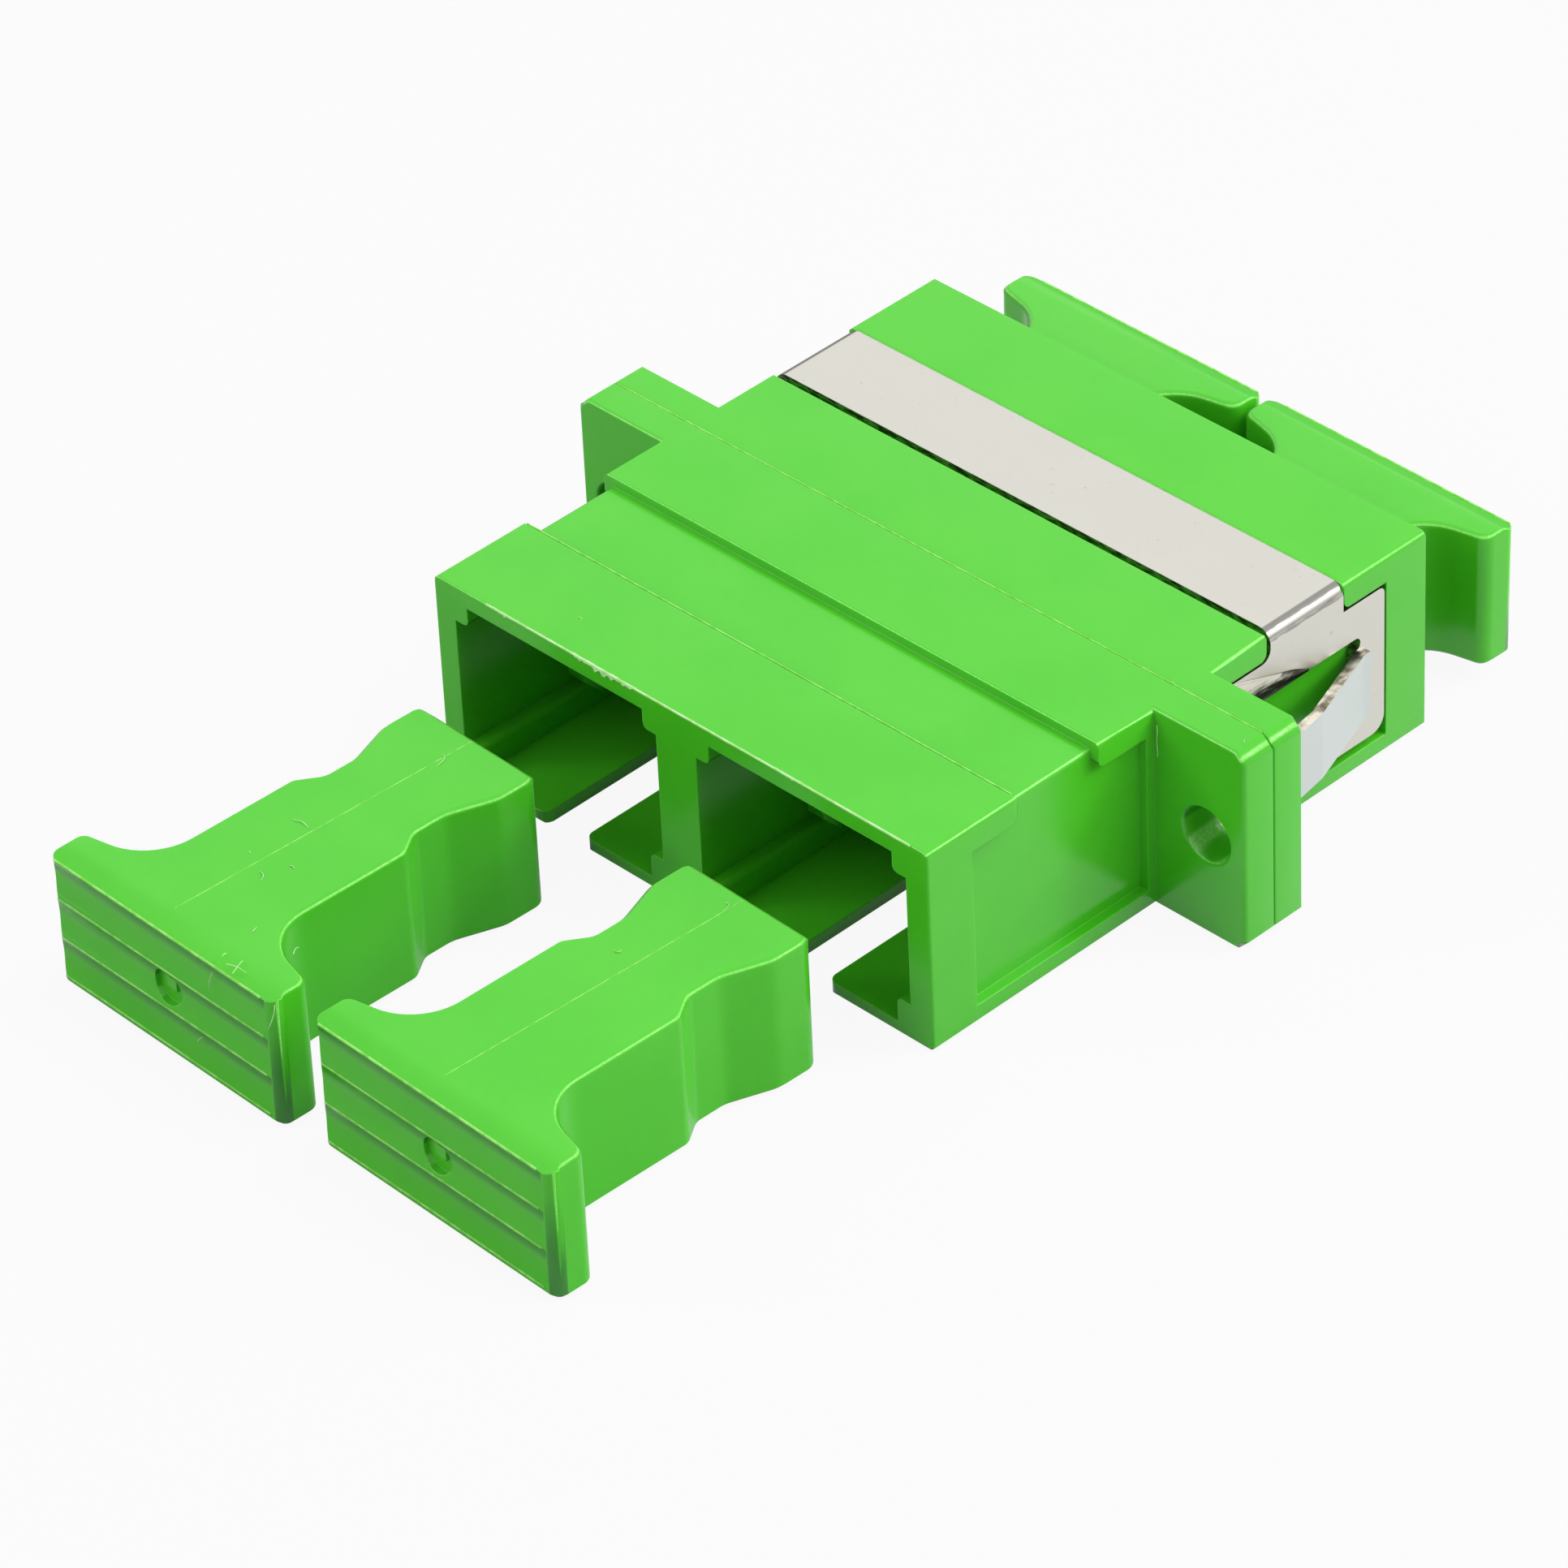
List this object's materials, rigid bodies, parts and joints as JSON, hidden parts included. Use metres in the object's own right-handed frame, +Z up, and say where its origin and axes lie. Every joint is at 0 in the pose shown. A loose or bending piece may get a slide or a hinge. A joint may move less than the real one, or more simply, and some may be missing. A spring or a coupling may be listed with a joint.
{
  "type": "duplex fibre optic adapter",
  "caption": "Flanged duplex fibre optic adapter with square ports, a spring steel panel clip and pull-out dust caps.",
  "frame": {"origin": "middle of the underside, on the seam between the two halves of the flange", "axes": "+X across the two ports, +Y along the insertion axis from the open ports to the clip side, +Z up"},
  "size_m": [0.0346, 0.0509, 0.0091],
  "materials": {
    "housing": "moulded satin gloss",
    "cap": "moulded satin gloss",
    "insert": "moulded satin",
    "spring_steel": "rolled, bright",
    "sleeve": "polished"
  },
  "bodies": {
    "adapter": {"front_housing": "housing", "rear_housing": "housing", "mounting_clip": "spring_steel", "latch_insert_front_left": "insert", "latch_insert_front_right": "insert", "latch_insert_rear_left": "insert", "latch_insert_rear_right": "insert", "alignment_sleeve_left": "sleeve", "alignment_sleeve_right": "sleeve"},
    "dust_cap_front_left": {"dust_cap_front_left": "cap"},
    "dust_cap_front_right": {"dust_cap_front_right": "cap"},
    "dust_cap_rear_left": {"dust_cap_rear_left": "cap"},
    "dust_cap_rear_right": {"dust_cap_rear_right": "cap"}
  },
  "joints": [
    {"name": "dust_cap_front_left_slide", "type": "slide", "parent": "adapter", "child": "dust_cap_front_left", "axis": [0.0586, 0.989, 0.1362], "range_m": [0, 0.01315]},
    {"name": "dust_cap_rear_left_slide", "type": "slide", "parent": "adapter", "child": "dust_cap_rear_left", "axis": [0, 1, 0], "range_m": [0, 0.0147]},
    {"name": "dust_cap_front_right_slide", "type": "slide", "parent": "adapter", "child": "dust_cap_front_right", "axis": [-0.051, 0.9894, 0.1362], "range_m": [0, 0.01314]},
    {"name": "dust_cap_rear_right_slide", "type": "slide", "parent": "adapter", "child": "dust_cap_rear_right", "axis": [0, 1, 0], "range_m": [0, 0.0147]}
  ]
}
